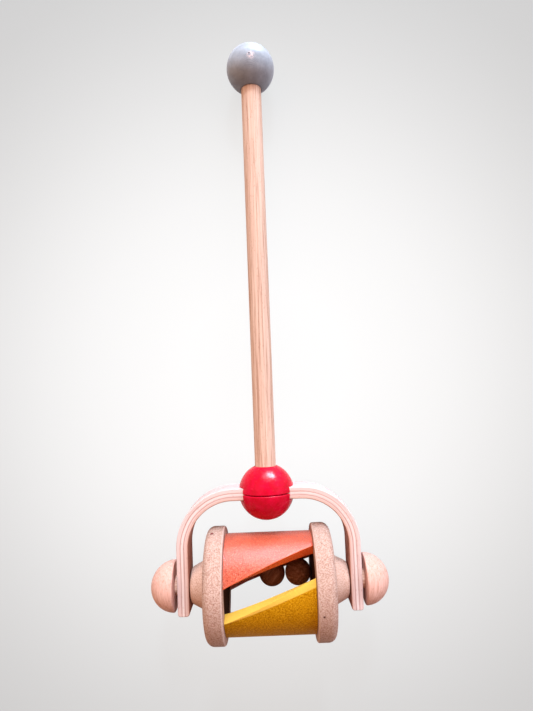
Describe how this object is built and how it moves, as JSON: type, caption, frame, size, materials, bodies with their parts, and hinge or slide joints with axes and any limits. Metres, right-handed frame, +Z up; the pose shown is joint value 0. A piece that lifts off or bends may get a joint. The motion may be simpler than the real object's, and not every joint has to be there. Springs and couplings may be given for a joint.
{
  "type": "toddler push toy",
  "caption": "Wooden push toy: a slotted rattle drum with loose balls rolls in a bent plywood arch on the end of a knobbed push rod.",
  "frame": {"origin": "centre of the bottom of the toy's box as it lies on a floor, on the rims of its discs and its knob", "axes": "+Y from the drum along the rod to the knob, +X along the axle, +Z up"},
  "size_m": [0.212, 0.5502, 0.0985],
  "materials": {
    "grey_paint": "satin paint on turned wood",
    "red_paint": "gloss paint on turned wood",
    "beech": "sanded and sealed",
    "beech_plywood": "bent plywood, sealed",
    "pressed_wood": "moulded fine wood composite, sealed",
    "coral_wood": "dyed wood composite, satin",
    "yellow_wood": "dyed wood composite, satin",
    "brown_wood": "sanded wood"
  },
  "bodies": {
    "frame": {"handle_knob": "grey_paint", "push_rod": "beech", "joint_ball_upper": "red_paint", "joint_ball_lower": "red_paint", "joint_dowel": "beech", "arch": "beech_plywood"},
    "drum": {"drum_disc_left": "pressed_wood", "drum_disc_right": "pressed_wood", "coral_shell": "coral_wood", "yellow_shell": "yellow_wood", "axle_pin_left": "beech", "axle_pin_right": "beech", "end_dome_left": "beech", "end_dome_right": "beech", "shell_dowel_coral_left_a": "beech", "shell_dowel_coral_left_b": "beech", "shell_dowel_coral_right_a": "beech", "shell_dowel_coral_right_b": "beech", "shell_dowel_yellow_left_a": "beech", "shell_dowel_yellow_left_b": "beech", "shell_dowel_yellow_right_a": "beech", "shell_dowel_yellow_right_b": "beech"},
    "rattle_ball_a": {"rattle_ball_a": "brown_wood"},
    "rattle_ball_b": {"rattle_ball_b": "brown_wood"}
  },
  "joints": [
    {"name": "drum_spin", "type": "hinge", "parent": "frame", "child": "drum", "pos_m": [0, -0.22591, 0.04925], "axis": [1, 0, 0], "continuous": true},
    {"name": "ball_a_run", "type": "hinge", "parent": "drum", "child": "rattle_ball_a", "pos_m": [0, -0.22591, 0.04925], "axis": [1, 0, 0], "continuous": true},
    {"name": "ball_b_run", "type": "hinge", "parent": "drum", "child": "rattle_ball_b", "pos_m": [0, -0.22591, 0.04925], "axis": [1, 0, 0], "continuous": true}
  ]
}
